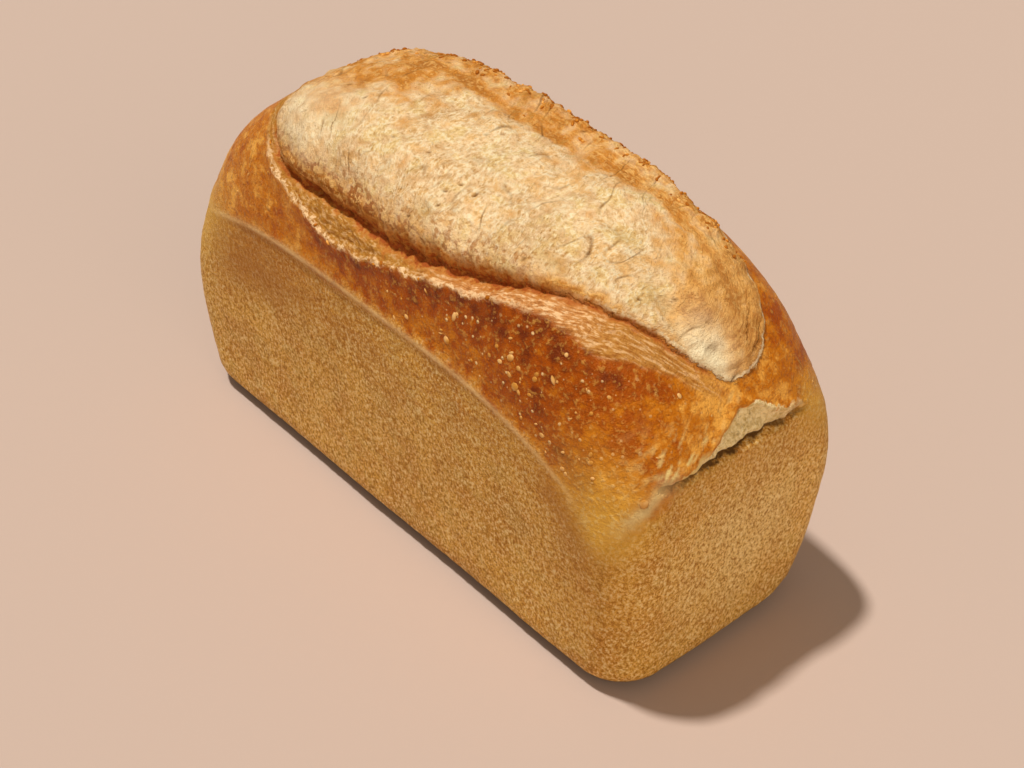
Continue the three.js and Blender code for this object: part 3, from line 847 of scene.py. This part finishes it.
RECIPE = (  # a BAND is its source, where it starts and ends, and its value at the end
    *((name + " shift", "SUBTRACT", name, 0.5) for name in ("grain", "flake", "blotch", "tint", "fibre")),
    # the wall
    ("broad", "BAND", "patch", 0.45, 0.62, 0.45),
    ("warm wall", "BAND", "blotch", 0.50, 0.64, 0.4),
    ("olive wall", "BAND", "tint", 0.49, 0.38, 0.4),
    ("wall pits", "BAND", "wall grain", 0.49, 0.40, 0.85),
    ("wall specks", "BAND", "wall grain", 0.52, 0.61, 0.8),
    ("upper brown", "MULTIPLY", "upper_wall", 0.7),
    ("fine pits", "BAND", "grit", 0.48, 0.36, 0.6),
    # the dome
    ("uneven rim", "MULTIPLY_ADD", "blotch shift", 0.012, "above_rim"),
    ("dome", "BAND", "uneven rim", -0.002, 0.004, 1.0),
    ("baked", "MULTIPLY_ADD", "blotch shift", 1.25, "bake"),
    ("baked", "MULTIPLY_ADD", "flake shift", 1.1, "baked"),
    ("golden brown", "BAND", "baked", 0.10, 0.34, 1.0),
    ("brown", "BAND", "baked", 0.45, 0.72, 1.0),
    ("mahogany", "BAND", "baked", 0.82, 1.12, 1.0),
    ("light flecks", "BAND", "grain", 0.53, 0.66, 0.5),
    ("dark flecks", "BAND", "fleck", 0.47, 0.34, 0.35),
    ("bead size", "MULTIPLY", "bead pick", 0.30),
    ("bead rise", "SUBTRACT", "bead size", "bead"),
    ("pale beads", "BAND", "bead rise", 0.0, 0.08, "blistered"),
    # the bloom
    ("ragged edge", "MULTIPLY_ADD", "grain shift", -0.0045, "beyond"),
    ("bloom", "BAND", "ragged edge", 0.0002, -0.0006, 1.0),
    ("toast zone", "BAND", "patch", 0.48, 0.60, 1.0),
    ("peach", "BAND", "tint", 0.51, 0.60, 0.55),
    ("yellowed", "BAND", "tint", 0.48, 0.38, 0.65),
    ("toasted", "MULTIPLY_ADD", "flake shift", 1.3, "toast"),
    ("toasted", "MULTIPLY_ADD", "tint shift", 0.8, "toasted"),
    ("toasted", "MULTIPLY_ADD", "fibre shift", 0.7, "toasted"),
    ("golden", "BAND", "toasted", 0.20, 0.70, 0.95),
    ("deep", "BAND", "toasted", 0.62, 0.95, 0.7),
    ("bloom specks", "BAND", "grain", 0.53, 0.59, 0.5),
    ("bloom shade", "BAND", "grain", 0.45, 0.40, 0.4),
    # strand shade and strand highlight are painted shade and painted highlight on the two sides of the
    # bloom's fine creases
    ("strand most", "MULTIPLY_ADD", "toast zone", 0.5, 0.35),
    ("strand shade", "BAND", "fibre", 0.44, 0.38, "strand most"),
    ("strand highlight", "BAND", "fibre", 0.54, 0.60, 0.5),
    ("crease gap", "ABSOLUTE", "fibre shift"),
    ("fine crease", "BAND", "crease gap", 0.014, 0.004, "toast zone"),
    ("fine crease", "MULTIPLY", "fine crease", 0.55),
    # painted light on the golden crumb at the bloom's right end
    ("end painted light", "MULTIPLY", "right_edge", 0.6),
    ("rubble dark", "BAND", "flake", 0.51, 0.43, "rubble"),
    ("rubble light", "BAND", "grain", 0.52, 0.60, "rubble"),
    ("toast flecks", "BAND", "flake", 0.54, 0.66, "toast zone"),
    ("toast flecks", "MULTIPLY", "toast flecks", 0.6),
    # the fold shade line is painted shade in the bloom's fold creases
    ("fold gap", "ABSOLUTE", "fold"),
    ("fold shade line", "BAND", "fold gap", 0.08, 0.015, "folded"),
    ("fold shade line", "MULTIPLY", "fold shade line", 0.75),
    ("off edge line", "ADD", "ragged edge", 0.0012),
    ("off edge line", "ABSOLUTE", "off edge line"),
    ("edge line", "BAND", "off edge line", 0.0009, 0.0002, "right_edge"),
    ("edge line", "MULTIPLY", "edge line", 0.6),
    # the groove, the strip beside it and the lip
    ("ragged groove", "MULTIPLY_ADD", "flake shift", 3.0, "off_groove"),
    ("ragged groove", "MULTIPLY_ADD", "grain shift", 0.8, "ragged groove"),
    ("ragged groove", "SUBTRACT", "ragged groove", 0.15),
    ("groove gap", "ABSOLUTE", "ragged groove"),
    ("by groove", "BAND", "groove gap", 1.4, 0.6, "groove_shows"),
    ("deep groove", "BAND", "groove gap", 0.7, 0.2, "groove_shows"),
    # strip light is pale strands with painted highlight on them; edge strands carry it onto the bloom's near
    # edge
    ("strip most", "MULTIPLY_ADD", "strip_pale", 0.45, 0.4),
    ("strip light", "BAND", "strip fibre", 0.50, 0.60, "strip most"),
    ("strip dark", "BAND", "strip fibre", 0.46, 0.34, 0.6),
    ("by edge", "BAND", "beyond", -0.022, -0.012, 1.0),
    ("edge strands", "MULTIPLY", "strip light", "by edge"),
    ("edge creases", "MULTIPLY", "strip dark", "by edge"),
    ("ragged lip", "MULTIPLY_ADD", "grain shift", 0.006, "past_lip"),
    ("lip gap", "ABSOLUTE", "ragged lip"),
    ("on lip", "BAND", "lip gap", 0.0011, 0.0003, "lip_stands"),
    ("lip breaks", "BAND", "flake", 0.42, 0.56, "on lip"),
    # the tear and the stretched skin by it
    ("ragged tear", "MULTIPLY_ADD", "flake shift", 2.0, "in_tear"),
    ("tear", "BAND", "ragged tear", 0.40, 0.60, "torn"),
    # the slit is painted shade in the narrow gap under the torn crumb
    ("ragged slit", "MULTIPLY_ADD", "flake shift", 0.004, "above_slit"),
    ("slit gap", "ABSOLUTE", "ragged slit"),
    ("slit", "BAND", "slit gap", 0.0013, 0.0005, "torn"),
    ("crumb shade", "BAND", "grain", 0.42, 0.62, 0.75),
    # relief
    ("crinkle", "MULTIPLY", "fibre", "bloom"),
    ("bead bump", "MAXIMUM", "bead rise", 0.0),
    ("bead bump", "MULTIPLY", "bead bump", "blistered"),
)


def bread_material():
    """Baked wheat crust: matt and finely pitted where the tin pressed it, glossy and brown where the
    dome rose into the oven's heat, and pale, dry and fibrous where it burst open."""
    material = new_material("baked_wheat_crust")
    tree = material.node_tree
    place = add(tree, "ShaderNodeTexCoord").outputs["Object"]
    share = {name: add(tree, "ShaderNodeAttribute", attribute_name=name).outputs["Fac"] for name in SHARES}
    strands = add(tree, "ShaderNodeAttribute", attribute_name="strands").outputs["Vector"]
    vectors = {"place": place}
    stretches = {  # what is scaled, and by how much along each of its three axes
        "upright": (place, (1, 1, 0.8)),
        "bloom strands": (strands, (1 / 0.0010, 1 / 0.0024, 0)),
        "strip strands": (strands, (1 / 0.0045, 0, 1 / 0.0010)),
    }
    for name, (source, scale) in stretches.items():
        inputs = {0: source, 1: scale}
        vectors[name] = add(tree, "ShaderNodeVectorMath", inputs, operation="MULTIPLY").outputs[0]
    vectors["aside"] = add(tree, "ShaderNodeVectorMath", {0: place, 1: ASIDE}, operation="ADD").outputs[0]
    # The tin's pitting is finer than the grit and the wall grain, which are as coarse as shows.
    noises = {  # vector, size in metres, detail, roughness
        "grit": ("place", 0.0008, 3, 0.7),
        "grain": ("place", 0.0018, 3, 0.6),
        "flake": ("place", 0.0036, 3, 0.6),
        "blotch": ("place", 0.0075, 3, 0.55),
        "patch": ("place", 0.0200, 3, 0.5),
        "tint": ("aside", 0.0100, 3, 0.6),
        "fleck": ("aside", 0.0013, 2, 0.6),
        "wall grain": ("upright", 0.0012, 4, 0.78),
        "fibre": ("bloom strands", 1, 4, 0.7),
        "strip fibre": ("strip strands", 1, 2, 0.6),
    }
    for name, (vector, size, detail, roughness) in noises.items():
        inputs = {"Vector": vectors[vector], "Scale": 1 / size, "Detail": detail, "Roughness": roughness}
        share[name] = add(tree, "ShaderNodeTexNoise", inputs).outputs["Fac"]
    beads = add(tree, "ShaderNodeTexVoronoi", {"Vector": place, "Scale": 1 / BEAD_SPACING})
    share["bead"] = beads.outputs["Distance"]
    share["bead pick"] = add(tree, "ShaderNodeSeparateColor", {0: beads.outputs["Color"]}).outputs[0]
    work_out(tree, share, RECIPE)
    wall = coats(tree, share, colour(TAN), [
        ("broad", TAN_BROWN), ("warm wall", TAN_WARM), ("olive wall", TAN_OLIVE), ("floury", FLOURY),
        ("wall pits", TAN_DARK), ("fine pits", TAN_DARK), ("wall specks", TAN_LIGHT),
        ("upper brown", UPPER_BROWN), ("foot_shade", FOOT_SHADE_BROWN),
    ])
    dome = coats(tree, share, colour(GLOW), [
        ("golden brown", GOLDEN_BROWN), ("brown", BROWN), ("mahogany", MAHOGANY), ("light flecks", FLECK),
        ("dark flecks", MAHOGANY), ("pale beads", BEAD),
    ])
    straw = coats(tree, share, colour(STRAW), [("bloom specks", STRAW_PALE)])
    golden = coats(tree, share, colour(GOLDEN_TOAST), [
        ("end painted light", GOLDEN_LIGHT), ("deep", DEEP_TOAST), ("edge strands", GOLDEN_LIGHT),
        ("bloom specks", GOLDEN_LIGHT), ("edge creases", DEEP_TOAST), ("dark flecks", DEEP_TOAST),
    ])
    bloom = coats(tree, share, colour(CREAM), [
        ("peach", PEACH), ("yellowed", YELLOW_CREAM), ("bloom shade", TOAST_FLECK),
        ("strand shade", TOAST_FLECK), ("bloom specks", CREAM_LIGHT), ("strand highlight", CREAM_LIGHT),
        ("hollowed", HOLLOW_OLIVE), ("golden", golden), ("toast flecks", TOAST_FLECK),
        ("fine crease", DEEP_TOAST), ("rubble dark", RUBBLE_BROWN), ("rubble light", PEACH),
        # the pores and fold creases take painted shade
        ("painted_light_cream", CREAM_LIGHT), ("edge line", CREAM_LIGHT), ("pores", PIT_SHADE_BROWN),
        ("fold shade line", PIT_SHADE_BROWN),
    ])
    strip = coats(tree, share, colour(STRIP_OLIVE), [
        ("strip_pale", STRIP_PINK), ("strip dark", STRIP_BROWN), ("strip light", STRIP_LIGHT),
        ("dark flecks", STRIP_BROWN),
    ])
    crumb = coats(tree, share, colour(CRUMB_PALE), [
        # the strand highlight is painted highlight on the torn crumb as well
        ("crumb shade", CRUMB_GREEN), ("strand highlight", CREAM_LIGHT), ("dark flecks", CRUMB_BROWN),
        ("rolled", STRAW_PALE),
    ])
    skin = coats(tree, share, wall, [
        ("dome", dome), ("rim_highlight", RIM_HIGHLIGHT_TAN), ("stretch", straw), ("stretch_marks", STRAW_PALE),
        ("pale_streak", SEAM_GREY), ("in_strip", strip), ("lip breaks", LIP_CREAM), ("bloom", bloom),
        ("by groove", GROOVE_BROWN), ("deep groove", GROOVE_DARK), ("tear", crumb), ("slit", SLIT_SHADE),
    ])
    dry = coats(tree, share, grey(0.6), [
        ("dome", grey(0.42)), ("in_strip", grey(0.55)), ("bloom", grey(0.8)),
    ])
    relief = None
    heights = (("grit", 0.0004), ("grain", 0.0007), ("crinkle", 0.0008), ("bead bump", 0.0020))
    for height, distance in heights:
        inputs = {"Height": share[height], "Distance": distance, "Strength": 1.0}
        if relief:
            inputs["Normal"] = relief
        relief = add(tree, "ShaderNodeBump", inputs).outputs[0]
    shader = add(tree, "ShaderNodeBsdfPrincipled", {
        "Base Color": skin, "Roughness": dry, "Normal": relief, "Specular IOR Level": 0.25,
        "Specular Tint": colour(SHEEN_TINT),
    })
    add(tree, "ShaderNodeOutputMaterial", {"Surface": shader.outputs[0]})
    return material


# ---- building ----


def put(name, data):
    """An object of this data in the scene."""
    made = bpy.data.objects.new(name, data)
    bpy.context.scene.collection.objects.link(made)
    return made


def keep_values(mesh, name, kind, key, values):
    """Stores a value at each point, for the material and the scattering to read."""
    mesh.attributes.new(name, kind, "POINT").data.foreach_set(key, values.astype(np.float32).ravel())


def normals_of(points, faces):
    """Point normals of a mesh of four-sided faces."""
    a, b, c, d = (points[faces[:, k]] for k in range(4))
    across = np.cross(c - a, d - b)
    normals = np.zeros_like(points)
    for k in range(4):
        for axis in range(3):
            normals[:, axis] += np.bincount(faces[:, k], across[:, axis], len(points))
    return normals / np.maximum(np.linalg.norm(normals, axis=1, keepdims=True), SHORTEST_NORMAL)


def fit_to_box(points, box):
    """Brings the points' outermost places to the corners of the box, in metres."""
    low, high = points.min(axis=0), points.max(axis=0)
    start, end = np.array(box[0]), np.array(box[1])
    return start + (points - low) * (end - start) / (high - low)


def loaf_piece():
    points, faces, fan = crust_grid()
    crust = Crust(points)
    points = points + crust.outward * main_relief(crust)[:, None]
    normals = normals_of(points, faces)
    normals[-1] = (0, 0, -1)
    points = points + normals * (fine_relief(crust) * smoothstep(*FINE_RELIEF_STARTS, crust.z))[:, None]
    points = fit_to_box(points, CAD_BOX)
    mesh = bpy.data.meshes.new("tin_loaf_bread")
    mesh.from_pydata(points.tolist(), [], faces.tolist() + fan.tolist())
    mesh.shade_smooth()
    for name, unit in PLACES.items():
        keep_values(mesh, name, "FLOAT", "value", getattr(crust, name) * unit)
    for field in FIELDS:
        keep_values(mesh, field.__name__, "FLOAT", "value", field(crust))
    strands = np.stack([*strand_place(crust), crust.beyond], axis=1) * MM
    keep_values(mesh, "strands", "FLOAT_VECTOR", "vector", strands)
    return put("tin_loaf_bread", mesh)


# ---- what is scattered over the crust: blisters and crumbs ----


def mottled_material(name, size, detail, ground, bands, roughness, gloss):
    """A ground colour, and others over it where a noise of this size passes from start to end."""
    material = new_material(name)
    tree = material.node_tree
    place = add(tree, "ShaderNodeTexCoord").outputs["Object"]
    mottle = {"Vector": place, "Scale": 1 / size, "Detail": detail}
    share = {"mottle": add(tree, "ShaderNodeTexNoise", mottle).outputs["Fac"]}
    work_out(tree, share, [(paint, "BAND", "mottle", start, end, 1.0) for start, end, paint in bands])
    skin = coats(tree, share, colour(ground), [(paint, paint) for _, _, paint in bands])
    shader = add(tree, "ShaderNodeBsdfPrincipled", {
        "Base Color": skin, "Roughness": roughness, "Specular IOR Level": gloss,
        "Specular Tint": colour(SHEEN_TINT),
    })
    add(tree, "ShaderNodeOutputMaterial", {"Surface": shader.outputs[0]})
    return material


def blister_material():
    """A thin bubble of dough skin that dried pale and slightly shiny over the darker crust."""
    bands = [(0.4, 0.65, BLISTER_PALE)]
    return mottled_material("blistered_dough_skin", 0.004, 2.0, BLISTER_BROWN, bands, 0.45, 0.35)


def crumb_material():
    """Dry flakes of burst crust, toasted unevenly from gold to dark brown."""
    bands = [(0.30, 0.40, GOLDEN_TOAST), (0.40, 0.50, DEEP_TOAST)]
    return mottled_material("toasted_crumb_flakes", 0.005, 3.0, GOLDEN_LIGHT, bands, 0.75, 0.3)


def scatter_tree(name):
    """Small closed shells spread over a surface, most where the named mask is strongest."""
    tree = bpy.data.node_groups.new(name, "GeometryNodeTree")
    sockets = {
        "Geometry": "Geometry", "Mask": "String", "Per Square Metre": "Float", "Smallest": "Vector",
        "Largest": "Vector", "Sink": "Float", "Seed": "Int", "Material": "Material",
    }
    for title, kind in sockets.items():
        tree.interface.new_socket(title, in_out="INPUT", socket_type="NodeSocket" + kind)
    tree.interface.new_socket("Geometry", in_out="OUTPUT", socket_type="NodeSocketGeometry")
    given = add(tree, "NodeGroupInput").outputs
    mask = add(tree, "GeometryNodeInputNamedAttribute", {"Name": given["Mask"]}, data_type="FLOAT").outputs[0]
    density = {0: mask, 1: given["Per Square Metre"]}
    crowd = add(tree, "ShaderNodeMath", density, operation="MULTIPLY").outputs[0]
    spread = add(tree, "GeometryNodeDistributePointsOnFaces", {
        "Mesh": given["Geometry"], "Density": crowd, "Seed": given["Seed"],
    })
    shell = add(tree, "GeometryNodeMeshUVSphere", {"Radius": 1.0, "Segments": 8, "Rings": 4}).outputs["Mesh"]
    sizes = {0: given["Smallest"], 1: given["Largest"], "Seed": given["Seed"]}
    size = add(tree, "FunctionNodeRandomValue", sizes, data_type="FLOAT_VECTOR").outputs[0]
    turns = {0: (0, 0, 0), 1: (0, 0, 2 * math.pi), "Seed": given["Seed"]}
    turn = add(tree, "FunctionNodeRandomValue", turns, data_type="FLOAT_VECTOR").outputs[0]
    turning = {"Rotation": spread.outputs["Rotation"], "Rotate By": turn}
    turned = add(tree, "FunctionNodeRotateRotation", turning, rotation_space="LOCAL").outputs[0]
    placed = add(tree, "GeometryNodeInstanceOnPoints", {
        "Points": spread.outputs["Points"], "Instance": shell, "Rotation": turned, "Scale": size,
    }).outputs[0]
    down = add(tree, "ShaderNodeCombineXYZ", {"Z": given["Sink"]}).outputs[0]
    sunk = add(tree, "GeometryNodeTranslateInstances", {"Instances": placed, "Translation": down}).outputs[0]
    real = add(tree, "GeometryNodeRealizeInstances", {"Geometry": sunk}).outputs[0]
    smooth = add(tree, "GeometryNodeSetShadeSmooth", {"Geometry": real}).outputs[0]
    coated = {"Geometry": smooth, "Material": given["Material"]}
    done = add(tree, "GeometryNodeSetMaterial", coated).outputs[0]
    add(tree, "NodeGroupOutput", {"Geometry": done})
    return tree


def keep_in_box(mesh, box):
    """Presses in what stands out of the box."""
    places = np.empty(3 * len(mesh.vertices), np.float32)
    mesh.vertices.foreach_get("co", places)
    mesh.vertices.foreach_set("co", np.clip(places.reshape(-1, 3), box[0], box[1]).ravel())
    mesh.update()


def scatter_piece(name, tree, ground, values):
    """A plain mesh of what the tree spreads over the ground piece."""
    maker = put(name + "_maker", ground.data)
    modifier = maker.modifiers.new(name, "NODES")
    modifier.node_group = tree
    for socket in tree.interface.items_tree:
        if socket.in_out == "INPUT" and socket.name in values:
            modifier[socket.identifier] = values[socket.name]
    bpy.context.view_layer.update()
    made = bpy.data.meshes.new_from_object(maker.evaluated_get(bpy.context.evaluated_depsgraph_get()))
    bpy.data.objects.remove(maker)
    for attribute in [a.name for a in made.attributes if a.name in (*SHARES, "strands")]:
        made.attributes.remove(made.attributes[attribute])
    made.name = name
    keep_in_box(made, CAD_BOX)
    return put(name, made)


bread = loaf_piece()
bread.data.materials.append(bread_material())
blister_skin = blister_material()
scatter = scatter_tree("scatter_on_crust")
blisters = scatter_piece("crust_blisters", scatter, bread, {
    "Mask": "blistered", "Per Square Metre": 14000.0, "Smallest": (0.0003, 0.0003, 0.00015),
    "Largest": (0.0012, 0.0010, 0.0004), "Sink": -0.0001, "Seed": 4, "Material": blister_skin,
})
large_blisters = scatter_piece("crust_large_blisters", scatter, bread, {
    "Mask": "blistered", "Per Square Metre": 2200.0, "Smallest": (0.0009, 0.0007, 0.0003),
    "Largest": (0.0024, 0.0018, 0.0007), "Sink": -0.0002, "Seed": 12, "Material": blister_skin,
})
crumbs = scatter_piece("crust_crumbs", scatter, bread, {
    "Mask": "crumbly", "Per Square Metre": 160000.0, "Smallest": (0.0003, 0.0003, 0.0002),
    "Largest": (0.0014, 0.0009, 0.0007), "Sink": 0.0, "Seed": 9, "Material": crumb_material(),
})

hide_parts("loaf")
for piece in (bread, blisters, large_blisters, crumbs):
    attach(piece, "root")

# ---- floor, light and camera ----

FLOOR_HALF_SIZE = 3.0
FLOOR_COLOUR = "#bfa796"


def floor_piece():
    """A sheet of matt card: an even pale tone with no gloss of its own."""
    mesh = bpy.data.meshes.new("floor")
    s = FLOOR_HALF_SIZE
    mesh.from_pydata([(-s, -s, 0), (s, -s, 0), (s, s, 0), (-s, s, 0)], [], [(0, 1, 2, 3)])
    floor = put("floor", mesh)
    material = new_material("matt_card")
    tree = material.node_tree
    shader = add(tree, "ShaderNodeBsdfPrincipled", {"Base Color": colour(FLOOR_COLOUR), "Roughness": 0.9})
    add(tree, "ShaderNodeOutputMaterial", {"Surface": shader.outputs[0]})
    mesh.materials.append(material)
    return floor


floor_piece()

LAMPS = (  # name, where it shines from, strength, angle in degrees, colour
    ("key", (-0.212, -0.155, 0.965), 3.0, 4, (1, 1, 1)),
    ("fill", (0.85, -0.3, 0.42), 1.1, 60, (1.0, 0.8, 0.6)),
)
SKY_STRENGTH = 0.24
SKY_COLOUR = (1.0, 0.93, 0.86, 1.0)


def light_scene():
    scene = bpy.context.scene
    for name, source, strength, angle, tint in LAMPS:
        light = bpy.data.lights.new(name, "SUN")
        light.energy = strength
        light.angle = math.radians(angle)
        light.color = tint
        put(name, light).rotation_euler = Vector(source).to_track_quat("Z", "Y").to_euler()
    scene.world = bpy.data.worlds.new("soft_room")
    scene.world.use_nodes = True
    sky = scene.world.node_tree.nodes["Background"]
    sky.inputs["Color"].default_value = SKY_COLOUR
    sky.inputs["Strength"].default_value = SKY_STRENGTH
    scene.view_settings.view_transform = "Standard"


light_scene()

CAMERA_TARGET = (24.108, -9.608, 60)
CAMERA_AZIMUTH = 49.359
CAMERA_ELEVATION = 38.886
CAMERA_DISTANCE = 725.48
CAMERA_LENS = 70.3125


def place_camera():
    target = (Vector(CAMERA_TARGET) + Vector((*TIN_MIDDLE, 0))) * MM
    a, e = math.radians(CAMERA_AZIMUTH), math.radians(CAMERA_ELEVATION)
    back = Vector((math.sin(a) * math.cos(e), -math.cos(a) * math.cos(e), math.sin(e)))
    data = bpy.data.cameras.new("camera")
    data.lens = CAMERA_LENS
    camera = put("camera", data)
    camera.location = target + back * CAMERA_DISTANCE * MM
    camera.rotation_euler = (-back).to_track_quat("-Z", "Y").to_euler()
    bpy.context.scene.camera = camera


place_camera()
